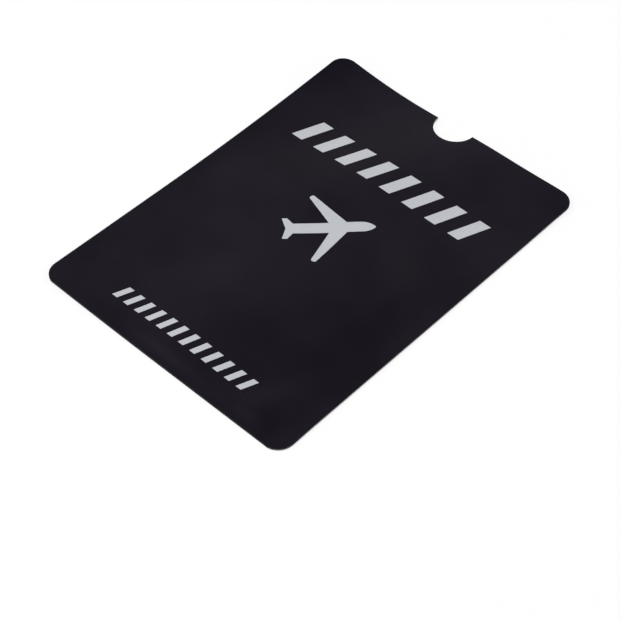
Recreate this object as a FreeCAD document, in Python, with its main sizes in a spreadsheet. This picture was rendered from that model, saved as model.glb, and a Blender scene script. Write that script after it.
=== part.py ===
import FreeCAD, Part
import math
import os
import Sketcher

# Passport sleeve: a flat pocket of foil-lined paper, folded across its closed end, glued down both
# long sides and die-cut with round corners and a thumb notch at the mouth.
# Millimetres. The back lies on Z = 0 with the sleeve's centre at X = Y = 0. +Y points to the mouth
# and +Z out of the printed front.

SIZES = {
    # The die-cut outline, and how far the uncut sheets reach past it.
    "sleeve_width": 96.0,
    "sleeve_length": 131.0,
    "corner_radius": 5.4,
    "notch_radius": 7.0,
    "trim_allowance": 2.0,
    # The layers of one wall, the glue between the two walls, and the print on the front.
    "cover_thickness": 0.2,
    "shield_thickness": 0.03,
    "glue_thickness": 0.1,
    "print_thickness": 0.02,
    # The glue lines: along each side, then round the corner and a short way along the fold.
    "seam_width": 2.5,
    "seam_hook": 6.0,
    "pocket_corner_radius": 3.0,
    # The two printed rows of slanted bars. The slope is sideways run over height.
    "bar_slope": 0.38,
    "upper_row_from_mouth": 31.9,
    "upper_row_width": 72.0,
    "upper_row_height": 10.6,
    "upper_bar_width": 4.2,
    "upper_bar_count": 8,
    "lower_row_from_fold": 11.4,
    "lower_row_width": 54.0,
    "lower_row_height": 5.2,
    "lower_bar_width": 2.0,
    "lower_bar_count": 12,
    # The printed plane: where its nose is, its heading in degrees to the right of the mouth, its
    # half widths, and its lengths from the nose back along its axis.
    "plane_nose_x": 11.1,
    "plane_nose_y": 15.0,
    "plane_heading": 46.2,
    "fuselage_half_width": 2.0,
    "nose_length": 4.2,
    "nose_tip_radius": 0.6,
    "wing_root_front": 8.6,
    "wing_root_chord": 5.4,
    "wing_reach": 13.7,
    "wing_sweep": 9.8,
    "wing_tip_chord": 1.4,
    "wing_tip_rake": 0.7,
    "wing_tip_radius": 0.7,
    "tail_boom": 10.8,
    "tail_reach": 4.2,
    "tail_sweep": 1.7,
    "tail_tip_chord": 1.6,
    "tail_notch_depth": 1.1,
}

# Lengths worked out from the sheet, as expressions.
WALL = "(Sizes.cover_thickness + Sizes.shield_thickness)"
STACK = f"(2 * {WALL} + Sizes.glue_thickness)"
FOLD_RADIUS = f"({STACK} / 2)"
HALF_WIDTH = "(Sizes.sleeve_width / 2)"
HALF_LENGTH = "(Sizes.sleeve_length / 2)"
FOLD_LINE = f"(-{HALF_LENGTH} + {FOLD_RADIUS})"

# Two places nearer than this are the same place.
SAME_PLACE = 1e-4

# Degrees round a cylinder.
HALF_TURN = 180
FULL_TURN = 360

doc = FreeCAD.newDocument("passport_sleeve")


def fill_sheet():
    """Write the driving sizes into the spreadsheet, one alias to a row."""
    sheet = doc.addObject("Spreadsheet::Sheet", "Sizes")
    for row, (alias, value) in enumerate(SIZES.items(), start=1):
        sheet.set(f"A{row}", alias)
        sheet.set(f"B{row}", str(value))
        sheet.setAlias(f"B{row}", alias)
    doc.recompute()


def bind(target, expressions):
    """Bind each property of an object to an expression on the sheet."""
    for name, expression in expressions.items():
        target.setExpression(name, expression)


def new_sketch(body, name):
    """Start a sketch on the XY plane of its own body."""
    plane = next(item for item in body.Origin.OriginFeatures if item.Role == "XY_Plane")
    sketch = body.newObject("Sketcher::SketchObject", name)
    sketch.AttachmentSupport = (plane, [""])
    sketch.MapMode = "FlatFace"
    return sketch


def pin_point(sketch, geometry, vertex, x_expression, y_expression):
    """Fix one sketch point at a place given by two expressions, None keeping it on the axis."""
    for kind, expression, axis in (("DistanceX", x_expression, -2), ("DistanceY", y_expression, -1)):
        if expression is None:
            sketch.addConstraint(Sketcher.Constraint("PointOnObject", geometry, vertex, axis))
            continue
        point = sketch.getPoint(geometry, vertex)
        start = point.x if kind == "DistanceX" else point.y
        index = sketch.addConstraint(Sketcher.Constraint(kind, -1, 1, geometry, vertex, start))
        sketch.setExpression(f"Constraints[{index}]", expression)


def draw_polygon(sketch, corners):
    """Draw a closed polygon. Each corner is a rough place and the two expressions that fix it."""
    places = [FreeCAD.Vector(x, y, 0) for (x, y), _ in corners]
    count = len(corners)
    lines = []
    for index, place in enumerate(places):
        lines.append(sketch.addGeometry(Part.LineSegment(place, places[(index + 1) % count])))
    for index in range(count):
        sketch.addConstraint(Sketcher.Constraint("Coincident", lines[index], 2, lines[(index + 1) % count], 1))
    for line, (_, expressions) in zip(lines, corners):
        pin_point(sketch, line, 1, *expressions)


def draw_rectangle(sketch, low, high):
    """Draw a rectangle between two corners given as pairs of expressions."""
    draw_polygon(sketch, [
        ((-1, -1), (low[0], low[1])),
        ((1, -1), (high[0], low[1])),
        ((1, 1), (high[0], high[1])),
        ((-1, 1), (low[0], high[1])),
    ])


def pad(body, sketch, length):
    """Pad a sketch upwards by an expression."""
    feature = body.newObject("PartDesign::Pad", f"{body.Name}_pad")
    feature.Profile = sketch
    bind(feature, {"Length": length})
    doc.recompute()
    return feature


def fillet_upright_edges(body, base, radius, wanted, name):
    """Round the upright edges of a feature whose place passes a test."""
    names = []
    for index, edge in enumerate(base.Shape.Edges, start=1):
        box = edge.BoundBox
        upright = max(box.XLength, box.YLength) < SAME_PLACE
        if upright and wanted(edge.CenterOfMass):
            names.append(f"Edge{index}")
    feature = body.newObject("PartDesign::Fillet", f"{body.Name}_{name}")
    feature.Base = (base, names)
    bind(feature, {"Radius": radius})
    body.Tip = feature
    doc.recompute()
    return feature


def make_die():
    """The cutting die that gives every layer its outline: round corners and the thumb notch."""
    body = doc.addObject("PartDesign::Body", "die")
    outline = new_sketch(body, "die_outline")
    draw_rectangle(outline, (f"-{HALF_WIDTH}", f"-{HALF_LENGTH}"), (HALF_WIDTH, HALF_LENGTH))
    block = pad(body, outline, f"{STACK} + 2 * Sizes.trim_allowance")
    rounded = fillet_upright_edges(body, block, "Sizes.corner_radius", lambda place: True, "corners")
    notch_sketch = new_sketch(body, "die_notch")
    circle = Part.Circle(FreeCAD.Vector(0, 1, 0), FreeCAD.Vector(0, 0, 1), 1)
    ring = notch_sketch.addGeometry(circle)
    pin_point(notch_sketch, ring, 3, None, HALF_LENGTH)
    index = notch_sketch.addConstraint(Sketcher.Constraint("Radius", ring, 1.0))
    notch_sketch.setExpression(f"Constraints[{index}]", "Sizes.notch_radius")
    notch = body.newObject("PartDesign::Pocket", "notch")
    notch.Profile = notch_sketch
    notch.Type = "ThroughAll"
    notch.Reversed = True
    body.Tip = notch
    bind(body, {"Placement.Base.z": "-Sizes.trim_allowance"})
    doc.recompute()
    if notch.Shape.Volume >= rounded.Shape.Volume:
        raise RuntimeError("the thumb notch cuts nothing")
    return body


def make_pocket_form():
    """The plan of the pocket between the glue lines, which they are trimmed against."""
    body = doc.addObject("PartDesign::Body", "pocket_form")
    outline = new_sketch(body, "pocket_outline")
    side = f"({HALF_WIDTH} - Sizes.seam_width)"
    low = (f"-{side}", f"-{HALF_LENGTH} + Sizes.seam_width")
    high = (side, f"{HALF_LENGTH} + Sizes.trim_allowance")
    draw_rectangle(outline, low, high)
    block = pad(body, outline, f"{STACK} + 2 * Sizes.trim_allowance")
    fillet_upright_edges(body, block, "Sizes.pocket_corner_radius", lambda place: place.y < 0, "corners")
    bind(body, {"Placement.Base.z": "-Sizes.trim_allowance"})
    return body


def boolean(kind, name, base, tool):
    """Join two objects by a cut or a common."""
    result = doc.addObject(f"Part::{kind}", name)
    result.Base = base
    result.Tool = tool
    return result


def make_blank(name, thickness, bottom):
    """One uncut sheet of a wall, from the fold line to past the mouth."""
    blank = doc.addObject("Part::Box", f"{name}_blank")
    bind(blank, {
        "Length": "Sizes.sleeve_width + 2 * Sizes.trim_allowance",
        "Width": f"{HALF_LENGTH} + Sizes.trim_allowance - {FOLD_LINE}",
        "Height": thickness,
        "Placement.Base.x": f"-{HALF_WIDTH} - Sizes.trim_allowance",
        "Placement.Base.y": FOLD_LINE,
        "Placement.Base.z": bottom,
    })
    return blank


def make_wall_layer(name, thickness, bottom, die):
    """One flat layer of the front or back wall, cut by the die."""
    return boolean("Common", name, make_blank(name, thickness, bottom), die)


def make_tube(name, radius, sweep):
    """A cylinder along the fold, swept from its top round the closed end."""
    tube = doc.addObject("Part::Cylinder", name)
    tube.Angle = sweep
    along = FreeCAD.Vector(1, 0, 0)
    outwards = FreeCAD.Vector(0, -1, 0)
    up = FreeCAD.Vector(0, 0, 1)
    tube.Placement = FreeCAD.Placement(FreeCAD.Vector(), FreeCAD.Rotation(up, outwards, along, "ZXY"))
    bind(tube, {
        "Radius": radius,
        "Height": "Sizes.sleeve_width + 2 * Sizes.trim_allowance",
        "Placement.Base.x": f"-{HALF_WIDTH} - Sizes.trim_allowance",
        "Placement.Base.y": FOLD_LINE,
        "Placement.Base.z": FOLD_RADIUS,
    })
    return tube


def make_fold_layer(name, outer_radius, inner_radius, die):
    """One layer of the sheet where it turns round the closed end, trimmed at the round corners."""
    outside = make_tube(f"{name}_outside", outer_radius, HALF_TURN)
    inside = make_tube(f"{name}_inside", inner_radius, FULL_TURN)
    bend = boolean("Cut", f"{name}_bend", outside, inside)
    return boolean("Common", name, bend, die)


def make_seam(name, left_edge, die, pocket_form):
    """One line of glue between the two foils, down a side and round the closed corner."""
    strip = doc.addObject("Part::Box", f"{name}_strip")
    bind(strip, {
        "Length": "Sizes.seam_hook + Sizes.trim_allowance",
        "Width": f"{HALF_LENGTH} + Sizes.trim_allowance - {FOLD_LINE}",
        "Height": "Sizes.glue_thickness",
        "Placement.Base.x": left_edge,
        "Placement.Base.y": FOLD_LINE,
        "Placement.Base.z": WALL,
    })
    trimmed = boolean("Common", f"{name}_trimmed", strip, die)
    return boolean("Cut", name, trimmed, pocket_form)


def make_bar_row(name, prefix, row_y):
    """A printed row of slanted bars: one bar, repeated along the row."""
    width, height, bar, count = (
        f"Sizes.{prefix}_{part}" for part in ("row_width", "row_height", "bar_width", "bar_count")
    )
    run = f"({height} * Sizes.bar_slope)"
    start = f"(-{width} / 2)"
    body = doc.addObject("PartDesign::Body", name)
    sketch = new_sketch(body, f"{name}_bar")
    draw_polygon(sketch, [
        ((-4, -1), (start, f"-{height} / 2")),
        ((-2, -1), (f"{start} + {bar}", f"-{height} / 2")),
        ((-1, 1), (f"{start} + {bar} + {run}", f"{height} / 2")),
        ((-3, 1), (f"{start} + {run}", f"{height} / 2")),
    ])
    first_bar = pad(body, sketch, "Sizes.print_thickness")
    row = body.newObject("PartDesign::LinearPattern", f"{name}_row")
    row.Originals = [first_bar]
    row.Direction = (sketch, ["H_Axis"])
    bind(row, {"Length": f"{width} - {bar} - {run}", "Occurrences": count})
    body.Tip = row
    bind(body, {"Placement.Base.y": row_y, "Placement.Base.z": STACK})
    return body


def draw_nose(sketch, right_side, left_side):
    """Draw the nose: an arc off each side of the fuselage, and a small round tip at the origin."""
    half = SIZES["fuselage_half_width"]
    length = SIZES["nose_length"]
    tip_radius = SIZES["nose_tip_radius"]
    to_tip = length - tip_radius
    side_radius = (half ** 2 + to_tip ** 2 - tip_radius ** 2) / (2 * (half - tip_radius))
    lean = math.atan2(to_tip, side_radius - half)
    arcs = []
    for x, y, radius, first, last in (
        (half - side_radius, -length, side_radius, 0, lean),
        (0, -tip_radius, tip_radius, lean, math.pi - lean),
        (side_radius - half, -length, side_radius, math.pi - lean, math.pi),
    ):
        circle = Part.Circle(FreeCAD.Vector(x, y, 0), FreeCAD.Vector(0, 0, 1), radius)
        arcs.append(sketch.addGeometry(Part.ArcOfCircle(circle, first, last)))
    right, tip, left = arcs
    sketch.addConstraint(Sketcher.Constraint("Tangent", right_side, 1, right, 1))
    sketch.addConstraint(Sketcher.Constraint("Tangent", right, 2, tip, 1))
    sketch.addConstraint(Sketcher.Constraint("Tangent", tip, 2, left, 1))
    sketch.addConstraint(Sketcher.Constraint("Tangent", left, 2, left_side, 2))
    pin_point(sketch, tip, 3, None, "-Sizes.nose_tip_radius")
    index = sketch.addConstraint(Sketcher.Constraint("Radius", tip, tip_radius))
    sketch.setExpression(f"Constraints[{index}]", "Sizes.nose_tip_radius")


def total(*names):
    """Add up named sizes, a leading minus taking one away, as a number and as an expression."""
    value = 0.0
    expression = "0"
    for name in names:
        sign, alias = ("-", name[1:]) if name.startswith("-") else ("+", name)
        value += float(f"{sign}{SIZES[alias]}")
        expression += f" {sign} Sizes.{alias}"
    return value, expression


def draw_plane(sketch):
    """Draw the plane from above, with its nose at the origin and its tail towards -Y."""
    half = total("fuselage_half_width")
    wing_tip = ("wing_root_front", "wing_sweep")
    tail_root = ("wing_root_front", "wing_root_chord", "tail_boom")
    tail_tip = (*tail_root, "tail_sweep")
    tail_end = (*tail_tip, "tail_tip_chord")
    # One side from the end of the nose to the tail, as distance out and distance aft.
    side = [
        (half, total("nose_length")),
        (half, total("wing_root_front")),
        (total("wing_reach"), total(*wing_tip)),
        (total("wing_reach", "-wing_tip_rake"), total(*wing_tip, "wing_tip_chord")),
        (half, total("wing_root_front", "wing_root_chord")),
        (half, total(*tail_root)),
        (total("tail_reach"), total(*tail_tip)),
        (total("tail_reach"), total(*tail_end)),
    ]
    notch, notch_expression = total(*tail_end, "-tail_notch_depth")
    right = [((x, -y), (across, f"-({aft})")) for (x, across), (y, aft) in side]
    left = [((-x, -y), (f"-({across})", f"-({aft})")) for (x, across), (y, aft) in reversed(side)]
    corners = [*right, ((0, -notch), (None, f"-({notch_expression})")), *left]
    lines = []
    for (start, _), (end, _) in zip(corners, corners[1:]):
        segment = Part.LineSegment(FreeCAD.Vector(*start, 0), FreeCAD.Vector(*end, 0))
        lines.append(sketch.addGeometry(segment))
    for line, following in zip(lines, lines[1:]):
        sketch.addConstraint(Sketcher.Constraint("Coincident", line, 2, following, 1))
    for line, (_, expressions) in zip(lines, corners):
        pin_point(sketch, line, 1, *expressions)
    pin_point(sketch, lines[-1], 2, *corners[-1][1])
    draw_nose(sketch, lines[0], lines[-1])


def is_wing_tip(place):
    """Say whether a point of the plane's outline is a corner of a wing tip."""
    reaches = (total("wing_reach"), total("wing_reach", "-wing_tip_rake"))
    return any(abs(abs(place.x) - reach) < SAME_PLACE for reach, _ in reaches)


def make_plane_print():
    """The printed plane, turned to its heading."""
    body = doc.addObject("PartDesign::Body", "plane_print")
    sketch = new_sketch(body, "plane_outline")
    draw_plane(sketch)
    figure = pad(body, sketch, "Sizes.print_thickness")
    fillet_upright_edges(body, figure, "Sizes.wing_tip_radius", is_wing_tip, "wing_tips")
    bind(body, {
        "Placement.Base.x": "Sizes.plane_nose_x",
        "Placement.Base.y": "Sizes.plane_nose_y",
        "Placement.Base.z": STACK,
        "Placement.Rotation.Angle": "-Sizes.plane_heading",
    })
    return body


def make_parts():
    """Build every sub-part and return each with the number of solids that it holds."""
    die = make_die()
    pocket_form = make_pocket_form()
    cover = "Sizes.cover_thickness"
    shield = "Sizes.shield_thickness"
    front_inside = f"{WALL} + Sizes.glue_thickness"
    shield_outer_radius = f"{FOLD_RADIUS} - {cover}"
    left_edge = f"-{HALF_WIDTH} - Sizes.trim_allowance"
    right_edge = f"{HALF_WIDTH} - Sizes.seam_hook"
    upper_y = f"{HALF_LENGTH} - Sizes.upper_row_from_mouth"
    lower_y = f"-{HALF_LENGTH} + Sizes.lower_row_from_fold"
    return [
        (make_wall_layer("back_panel", cover, "0", die), 1),
        (make_wall_layer("back_shield", shield, cover, die), 1),
        (make_wall_layer("front_shield", shield, front_inside, die), 1),
        (make_wall_layer("front_panel", cover, f"{front_inside} + {shield}", die), 1),
        (make_fold_layer("end_fold", FOLD_RADIUS, shield_outer_radius, die), 1),
        (make_fold_layer("fold_shield", shield_outer_radius, "Sizes.glue_thickness / 2", die), 1),
        (make_seam("left_seam", left_edge, die, pocket_form), 1),
        (make_seam("right_seam", right_edge, die, pocket_form), 1),
        (make_bar_row("upper_bar_row", "upper", upper_y), SIZES["upper_bar_count"]),
        (make_bar_row("lower_bar_row", "lower", lower_y), SIZES["lower_bar_count"]),
        (make_plane_print(), 1),
    ]


def check_document(parts):
    """Stop if any object failed, or a sub-part is empty, invalid or in the wrong number of solids."""
    for item in doc.Objects:
        if {"Invalid", "Error"} & set(item.State):
            raise RuntimeError(f"{item.Label} failed: {item.State}")
    for part, solids in parts:
        shape = part.Shape
        if shape.isNull() or not shape.isValid() or len(shape.Solids) != solids:
            raise RuntimeError(f"{part.Label} is empty, invalid or in the wrong number of solids")


def write_parts(parts):
    """Write each sub-part to a STEP file under its own name."""
    os.makedirs("parts", exist_ok=True)
    for part, solids in parts:
        shape = part.Shape.Solids[0] if solids == 1 else Part.makeCompound(part.Shape.Solids)
        shape.exportStep(f"parts/{part.Label}.step")
        print(f"{part.Label}: {solids} solid(s), {shape.Volume:.3f} mm3")


fill_sheet()
sub_parts = make_parts()
doc.recompute()
check_document(sub_parts)
write_parts(sub_parts)
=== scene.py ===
"""Looks of a foil-lined passport sleeve that lies empty on a white table.

The sleeve is one blank of black laminate with foil inside, folded at its closed end, glued down both
long sides and printed in silver. Lengths are in metres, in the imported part's own frame: +X to the right
and +Y to the open mouth as the front is read, +Z out of the front.
"""

import logging
import math
from dataclasses import dataclass, fields
from enum import Enum
from typing import Iterable, Sequence

import bmesh
import bpy
import numpy as np
from bpy.types import Material, Mesh, Node, NodeSocket, NodeTree, Object
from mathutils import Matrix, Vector
from mathutils.geometry import delaunay_2d_cdt


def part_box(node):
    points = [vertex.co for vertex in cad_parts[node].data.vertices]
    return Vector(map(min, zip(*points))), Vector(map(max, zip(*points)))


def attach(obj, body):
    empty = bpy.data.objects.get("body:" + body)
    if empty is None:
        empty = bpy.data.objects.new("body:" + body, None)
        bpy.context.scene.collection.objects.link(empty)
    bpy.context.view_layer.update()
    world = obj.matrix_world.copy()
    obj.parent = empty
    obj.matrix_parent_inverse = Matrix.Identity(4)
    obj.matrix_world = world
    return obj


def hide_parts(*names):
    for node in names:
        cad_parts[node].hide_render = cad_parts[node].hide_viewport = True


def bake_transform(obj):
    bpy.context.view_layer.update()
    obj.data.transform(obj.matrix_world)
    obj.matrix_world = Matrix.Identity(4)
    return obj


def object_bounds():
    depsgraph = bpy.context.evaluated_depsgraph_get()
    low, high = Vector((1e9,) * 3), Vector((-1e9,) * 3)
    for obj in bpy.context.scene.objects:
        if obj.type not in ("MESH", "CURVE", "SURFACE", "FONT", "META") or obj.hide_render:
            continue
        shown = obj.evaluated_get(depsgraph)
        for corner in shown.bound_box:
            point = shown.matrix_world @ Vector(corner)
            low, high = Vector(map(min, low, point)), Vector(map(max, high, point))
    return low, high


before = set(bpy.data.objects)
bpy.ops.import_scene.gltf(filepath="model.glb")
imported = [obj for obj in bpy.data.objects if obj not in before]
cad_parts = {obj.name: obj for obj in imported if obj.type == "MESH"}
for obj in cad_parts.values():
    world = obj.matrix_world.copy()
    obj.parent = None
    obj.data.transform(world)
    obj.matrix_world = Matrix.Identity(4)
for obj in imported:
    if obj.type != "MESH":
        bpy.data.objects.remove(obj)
cad_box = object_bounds()

MM = 0.001
SHARP_ANGLE = math.radians(40)
SAME_PLACE = 0.0001 * MM
# How straight up a face of the frame looks where it is the top of a layer.
TOP_FACING = 0.9

Colour = tuple[float, float, float]
Point = tuple[float, float]
Span = tuple[float, float]

# The near black that cut edges and glue turn to towards the round corners.
CORNER_BLACK: Colour = (0.012, 0.010, 0.014)

log = logging.getLogger("sleeve")


@dataclass(frozen=True)
class Outline:
    """The sleeve's flat outline, with its round corners, its thumb notch and its glued sides."""

    half_width: float
    half_length: float
    corner_radius: float = 5.4 * MM
    notch_radius: float = 7.0 * MM
    glued_width: float = 2.5 * MM


@dataclass(frozen=True)
class Field:
    """A number that changes over a mesh or a surface, worked out by the nodes of one tree."""

    tree: NodeTree
    socket: NodeSocket

    def math(self, operation: str, *others: "Field | float") -> "Field":
        """Add one Math node.

        Args:
            operation: The node's operation.
            others: The second and third operands, fields or plain numbers.

        Returns:
            The node's result.
        """
        node = self.tree.nodes.new("ShaderNodeMath")
        node.operation = operation
        for place, operand in enumerate((self, *others)):
            if isinstance(operand, Field):
                self.tree.links.new(operand.socket, node.inputs[place])
            else:
                node.inputs[place].default_value = operand
        return Field(self.tree, node.outputs[0])

    def __add__(self, other: "Field | float") -> "Field":
        """The sum."""
        return self.math("ADD", other)

    def __sub__(self, other: "Field | float") -> "Field":
        """The difference."""
        return self.math("SUBTRACT", other)

    def __mul__(self, other: "Field | float") -> "Field":
        """The product."""
        return self.math("MULTIPLY", other)

    def __truediv__(self, other: "Field | float") -> "Field":
        """The quotient."""
        return self.math("DIVIDE", other)

    def __neg__(self) -> "Field":
        """The same number with the other sign."""
        return self.math("MULTIPLY", -1.0)

    def rest(self) -> "Field":
        """What the number lacks of 1."""
        return -self + 1.0

    def above(self, floor: float) -> "Field":
        """The number, or the floor where it is lower."""
        return self.math("MAXIMUM", floor)

    def bell(self, middle: float, spread: float) -> "Field":
        """A soft bump, 1 at the middle and near 0 two spreads away."""
        off = (self - middle) / spread
        return (-(off * off)).math("EXPONENT")

    def ramp(self, start: float, end: float) -> "Field":
        """A smooth step from 0 to 1.

        Args:
            start: Where the step begins.
            end: Where it is complete.

        Returns:
            The step.
        """
        node = self.tree.nodes.new("ShaderNodeMapRange")
        node.interpolation_type = "SMOOTHSTEP"
        self.tree.links.new(self.socket, node.inputs["Value"])
        node.inputs["From Min"].default_value = start
        node.inputs["From Max"].default_value = end
        return Field(self.tree, node.outputs["Result"])


@dataclass(frozen=True)
class Graph:
    """Adds nodes to one tree and wires them."""

    tree: NodeTree

    def add(self, kind: str, inputs: dict | None = None, **settings: object) -> Node:
        """Add one node.

        Args:
            kind: The node's type name.
            inputs: What goes into its sockets, by name or place: a field, a socket or a plain value.
            settings: The node's own properties.

        Returns:
            The node.
        """
        node = self.tree.nodes.new(kind)
        for name, value in settings.items():
            setattr(node, name, value)
        for key, value in (inputs or {}).items():
            self.feed(node.inputs[key], value)
        return node

    def feed(self, target: NodeSocket, value: object) -> None:
        """Fill a socket.

        Args:
            target: The socket.
            value: A field or a socket to link to it, or a plain value to set on it.
        """
        source = value.socket if isinstance(value, Field) else value
        if isinstance(source, NodeSocket):
            self.tree.links.new(source, target)
        else:
            target.default_value = source

    def out(self, kind: str, inputs: dict | None = None, **settings: object) -> NodeSocket:
        """Add one node, as add does, and give its first output."""
        return self.add(kind, inputs, **settings).outputs[0]

    def field(self, socket: NodeSocket) -> Field:
        """A socket as a number to reckon with."""
        return Field(self.tree, socket)

    def place(self) -> NodeSocket:
        """Where a point of a surface is on its piece."""
        return self.add("ShaderNodeTexCoord").outputs["Object"]

    def vector(self, **parts: object) -> NodeSocket:
        """A vector of the given X, Y and Z, with 0 for what isn't given."""
        return self.out("ShaderNodeCombineXYZ", parts)

    def axes(self, vector: NodeSocket) -> tuple[Field, Field, Field]:
        """The three parts of a vector."""
        parts = self.add("ShaderNodeSeparateXYZ", {0: vector})
        return tuple(self.field(socket) for socket in parts.outputs)

    def length(self, vector: NodeSocket) -> Field:
        """The length of a vector."""
        return self.field(self.add("ShaderNodeVectorMath", {0: vector}, operation="LENGTH").outputs["Value"])

    def noise(self, vector: NodeSocket, span: Field | float, detail: float, seed: float) -> Field:
        """Cloudy noise from 0 to 1.

        Args:
            vector: The coordinates that it follows.
            span: The width of one cloud.
            detail: How many finer layers it has.
            seed: Which of the noises it is.

        Returns:
            The noise.
        """
        scale = span.math("POWER", -1.0) if isinstance(span, Field) else 1.0 / span
        inputs = {"Vector": vector, "W": seed, "Scale": scale, "Detail": detail}
        return self.field(self.out("ShaderNodeTexNoise", inputs, noise_dimensions="4D"))


class GroupKind(Enum):
    """The kinds of node group, each with its tree's type and the type of what it puts out."""

    GEOMETRY = ("GeometryNodeTree", "NodeSocketGeometry")
    EFFECT = ("ShaderNodeTree", "NodeSocketFloat")


def new_group(name: str, kind: GroupKind, inputs: dict[str, object],
              outputs: Iterable[str]) -> tuple[Graph, dict[str, Field | NodeSocket]]:
    """Start a node group.

    Args:
        name: The group's name.
        kind: The kind of group.
        inputs: The input sockets by label, each a number, or a socket type for what has no number.
        outputs: The output sockets' labels.

    Returns:
        The group's graph, and what comes in by label: a field for a number, and else a socket.
    """
    tree_type, output_type = kind.value
    tree = bpy.data.node_groups.new(name, tree_type)
    for label, value in inputs.items():
        socket_type = value if isinstance(value, str) else "NodeSocketFloat"
        socket = tree.interface.new_socket(name=label, in_out="INPUT", socket_type=socket_type)
        if not isinstance(value, str):
            socket.default_value = value
    for label in outputs:
        tree.interface.new_socket(name=label, in_out="OUTPUT", socket_type=output_type)
    graph = Graph(tree)
    sockets = graph.add("NodeGroupInput").outputs
    given = {label: sockets[label] if isinstance(value, str) else graph.field(sockets[label])
             for label, value in inputs.items()}
    return graph, given


def label_of(name: str) -> str:
    """A value's name as the label of a socket."""
    return name.replace("_", " ").capitalize()


def sizes_of(holder: object) -> dict[str, float]:
    """The sizes that a dataclass holds, by label."""
    return {label_of(item.name): getattr(holder, item.name) for item in fields(holder)}


def put_in_scene(name: str, data: bpy.types.ID) -> Object:
    """Add an object to the scene.

    Args:
        name: The object's name.
        data: Its mesh, lamp or camera.

    Returns:
        The object.
    """
    item = bpy.data.objects.new(name, data)
    bpy.context.scene.collection.objects.link(item)
    return item


@dataclass(frozen=True)
class Curl:
    """A roll of the sheet up from the table."""

    heading: float
    start: float
    length: float

    def share(self, x: Field, y: Field) -> Field:
        """How much of the curl's height a place has.

        Args:
            x: The place across the sleeve.
            y: The place along it.

        Returns:
            0 up to the start and 1 a length beyond it along the heading, on a parabola.
        """
        far = x * math.cos(self.heading) + y * math.sin(self.heading)
        risen = ((far - self.start) / self.length).above(0.0)
        return risen * risen


@dataclass(frozen=True)
class Swell:
    """A soft rise of the front off the back, longer along one way than across it."""

    place: Point
    heading: float
    across: float
    along: float
    height: float

    def rise(self, x: Field, y: Field) -> Field:
        """How high the swell stands at a place.

        Args:
            x: The place across the sleeve.
            y: The place along it.

        Returns:
            The height, most at the swell's own place.
        """
        right = x - self.place[0]
        up = y - self.place[1]
        aside = right * math.cos(self.heading) + up * math.sin(self.heading)
        ahead = up * math.cos(self.heading) - right * math.sin(self.heading)
        return aside.bell(0.0, self.across) * ahead.bell(0.0, self.along) * self.height


@dataclass(frozen=True)
class Drape:
    """How the empty sleeve lies: its left side and mouth curl off the table, and its front is pillowed."""

    half_width: float
    half_length: float
    glued_width: float
    mouth_curl: float = 2.64 * MM
    side_curl: float = 0.3 * MM
    mouth_wave: float = 0.55 * MM
    puff: float = 0.05 * MM
    fullness: float = 1.0

    # The left corner of the mouth, and the left side down to the closed end.
    MOUTH_CORNER = Curl(math.radians(156.2), 38.3 * MM, 28.4 * MM)
    LEFT_SIDE = Curl(math.radians(200), 20 * MM, 27.8 * MM)
    # The wave at the mouth's right corner, in shares of the half width and half length.
    WAVE_PLACE = 0.87
    WAVE_SPREAD = 0.2
    WAVE_START = 0.55
    # The arch behind the mouth, the ridge from the right side to the plane's nose, the rise at the closed
    # end's right corner, and the belly of the closed end.
    SWELLS = (
        Swell((-0.3 * MM, 35 * MM), math.radians(-29.2), 16.9 * MM, 55 * MM, 0.95 * MM),
        Swell((37.2 * MM, -5.1 * MM), math.radians(58.9), 10.1 * MM, 41.8 * MM, 1.58 * MM),
        Swell((40 * MM, -52.9 * MM), math.radians(-47), 8 * MM, 15 * MM, 1.25 * MM),
        Swell((0.7 * MM, -38.7 * MM), math.radians(2.6), 21.3 * MM, 24.8 * MM, 1.92 * MM),
    )
    # How far in from the glue and from the fold the front comes free.
    SIDE_EASE = 14 * MM
    END_EASE = 6.3 * MM

    def build(self) -> NodeTree:
        """Make the node group that lifts flat layers to this shape.

        Returns:
            A group that takes and gives a geometry. Its Lift share says how much of the rise a layer has.
        """
        inputs = {"Geometry": "NodeSocketGeometry", "Lift share": 0.0, **sizes_of(self)}
        graph, given = new_group("Drape", GroupKind.GEOMETRY, inputs, ["Geometry"])
        x, y, _ = graph.axes(graph.out("GeometryNodeInputPosition"))
        across = x / given["Half width"]
        along = y / given["Half length"]
        curled = (self.MOUTH_CORNER.share(x, y) * given["Mouth curl"]
                  + self.LEFT_SIDE.share(x, y) * given["Side curl"])
        waved = across.bell(self.WAVE_PLACE, self.WAVE_SPREAD) * along.ramp(self.WAVE_START, 1.0)
        curled = curled + waved * given["Mouth wave"]
        from_glue = given["Half width"] - given["Glued width"] - x.math("ABSOLUTE")
        from_fold = y + given["Half length"]
        free = from_glue.ramp(0.0, self.SIDE_EASE) * from_fold.ramp(0.0, self.END_EASE)
        risen = given["Puff"]
        for swell in self.SWELLS:
            risen = risen + swell.rise(x, y) * given["Fullness"]
        offset = graph.vector(Z=curled + free * risen * given["Lift share"])
        moved = graph.out("GeometryNodeSetPosition", {"Geometry": given["Geometry"], "Offset": offset})
        graph.add("NodeGroupOutput", {"Geometry": moved})
        return graph.tree


class Making(Enum):
    """How a piece is made: from a flat sheet, from a bent strip that is solid already, or as bars."""

    SHEET = "Sheet layer"
    BENT = "Bent edge"
    BAR_ROW = "Bar row"


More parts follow.
